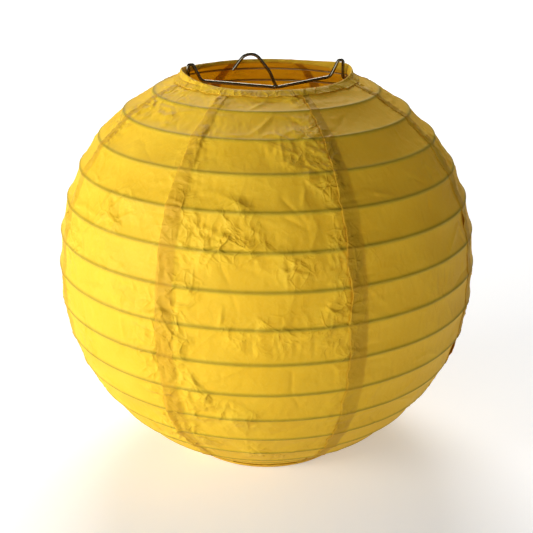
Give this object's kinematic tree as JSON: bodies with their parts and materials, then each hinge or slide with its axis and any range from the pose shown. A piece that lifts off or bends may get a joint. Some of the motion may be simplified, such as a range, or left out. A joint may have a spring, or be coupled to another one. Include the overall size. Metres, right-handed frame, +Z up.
{
  "type": "paper lantern",
  "caption": "Round collapsible paper lantern: thin wire hoops under glued yellow paper gores, held open by a bent wire expander with a hanging hook.",
  "frame": {"origin": "on the lantern's axis, at the level of the surface that its bottom rim stands on", "axes": "+Z up along the lantern's axis; +X along the expander, so the hook leans over to -X; +Y across the expander"},
  "size_m": [0.1998, 0.1998, 0.1962],
  "materials": {
    "steel_wire": "satin",
    "rib_wire": "satin",
    "expander_wire": "satin",
    "yellow_paper": "matte",
    "folded_paper": "matte"
  },
  "bodies": {
    "bottom_rim": {"bottom_ring": "steel_wire", "bottom_rim_binding": "folded_paper", "paper_gore_1": "yellow_paper", "paper_gore_2": "yellow_paper", "paper_gore_3": "yellow_paper", "paper_gore_4": "yellow_paper", "paper_gore_5": "yellow_paper", "paper_gore_6": "yellow_paper", "paper_gore_7": "yellow_paper", "paper_gore_8": "yellow_paper"},
    "top_rim": {"top_ring": "steel_wire", "top_rim_binding": "folded_paper"},
    "rib_01": {"rib_01": "rib_wire"},
    "rib_02": {"rib_02": "rib_wire"},
    "rib_03": {"rib_03": "rib_wire"},
    "rib_04": {"rib_04": "rib_wire"},
    "rib_05": {"rib_05": "rib_wire"},
    "rib_06": {"rib_06": "rib_wire"},
    "rib_07": {"rib_07": "rib_wire"},
    "rib_08": {"rib_08": "rib_wire"},
    "rib_09": {"rib_09": "rib_wire"},
    "rib_10": {"rib_10": "rib_wire"},
    "rib_11": {"rib_11": "rib_wire"},
    "rib_12": {"rib_12": "rib_wire"},
    "rib_13": {"rib_13": "rib_wire"},
    "rib_14": {"rib_14": "rib_wire"},
    "expander": {"expander": "expander_wire"}
  },
  "joints": [
    {"name": "collapse", "type": "slide", "parent": "bottom_rim", "child": "top_rim", "axis": [0, 0, -1], "range_m": [0, 0.168], "deforming": ["paper_gore_1", "paper_gore_2", "paper_gore_3", "paper_gore_4", "paper_gore_5", "paper_gore_6", "paper_gore_7", "paper_gore_8"]},
    {"name": "rib_01_follow", "type": "slide", "parent": "bottom_rim", "child": "rib_01", "axis": [0, 0, -1], "range_m": [0, 0.16243]},
    {"name": "rib_02_follow", "type": "slide", "parent": "bottom_rim", "child": "rib_02", "axis": [0, 0, -1], "range_m": [0, 0.15449]},
    {"name": "rib_03_follow", "type": "slide", "parent": "bottom_rim", "child": "rib_03", "axis": [0, 0, -1], "range_m": [0, 0.14424]},
    {"name": "rib_04_follow", "type": "slide", "parent": "bottom_rim", "child": "rib_04", "axis": [0, 0, -1], "range_m": [0, 0.13207]},
    {"name": "rib_05_follow", "type": "slide", "parent": "bottom_rim", "child": "rib_05", "axis": [0, 0, -1], "range_m": [0, 0.11862]},
    {"name": "rib_06_follow", "type": "slide", "parent": "bottom_rim", "child": "rib_06", "axis": [0, 0, -1], "range_m": [0, 0.10448]},
    {"name": "rib_07_follow", "type": "slide", "parent": "bottom_rim", "child": "rib_07", "axis": [0, 0, -1], "range_m": [0, 0.09009]},
    {"name": "rib_08_follow", "type": "slide", "parent": "bottom_rim", "child": "rib_08", "axis": [0, 0, -1], "range_m": [0, 0.07578]},
    {"name": "rib_09_follow", "type": "slide", "parent": "bottom_rim", "child": "rib_09", "axis": [0, 0, -1], "range_m": [0, 0.06186]},
    {"name": "rib_10_follow", "type": "slide", "parent": "bottom_rim", "child": "rib_10", "axis": [0, 0, -1], "range_m": [0, 0.04867]},
    {"name": "rib_11_follow", "type": "slide", "parent": "bottom_rim", "child": "rib_11", "axis": [0, 0, -1], "range_m": [0, 0.03648]},
    {"name": "rib_12_follow", "type": "slide", "parent": "bottom_rim", "child": "rib_12", "axis": [0, 0, -1], "range_m": [0, 0.02562]},
    {"name": "rib_13_follow", "type": "slide", "parent": "bottom_rim", "child": "rib_13", "axis": [0, 0, -1], "range_m": [0, 0.01631]},
    {"name": "rib_14_follow", "type": "slide", "parent": "bottom_rim", "child": "rib_14", "axis": [0, 0, -1], "range_m": [0, 0.00871]},
    {"name": "lift_out", "type": "slide", "parent": "bottom_rim", "child": "expander", "axis": [0, 0, 1], "range_m": [0, 0.2]}
  ],
  "couplings": [
    {"joint": "rib_01_follow", "follows": "collapse", "ratio": 0.96686},
    {"joint": "rib_02_follow", "follows": "collapse", "ratio": 0.91961},
    {"joint": "rib_03_follow", "follows": "collapse", "ratio": 0.85855},
    {"joint": "rib_04_follow", "follows": "collapse", "ratio": 0.78613},
    {"joint": "rib_05_follow", "follows": "collapse", "ratio": 0.70608},
    {"joint": "rib_06_follow", "follows": "collapse", "ratio": 0.62189},
    {"joint": "rib_07_follow", "follows": "collapse", "ratio": 0.53624},
    {"joint": "rib_08_follow", "follows": "collapse", "ratio": 0.45109},
    {"joint": "rib_09_follow", "follows": "collapse", "ratio": 0.36822},
    {"joint": "rib_10_follow", "follows": "collapse", "ratio": 0.28968},
    {"joint": "rib_11_follow", "follows": "collapse", "ratio": 0.21716},
    {"joint": "rib_12_follow", "follows": "collapse", "ratio": 0.15247},
    {"joint": "rib_13_follow", "follows": "collapse", "ratio": 0.09706},
    {"joint": "rib_14_follow", "follows": "collapse", "ratio": 0.051835}
  ]
}
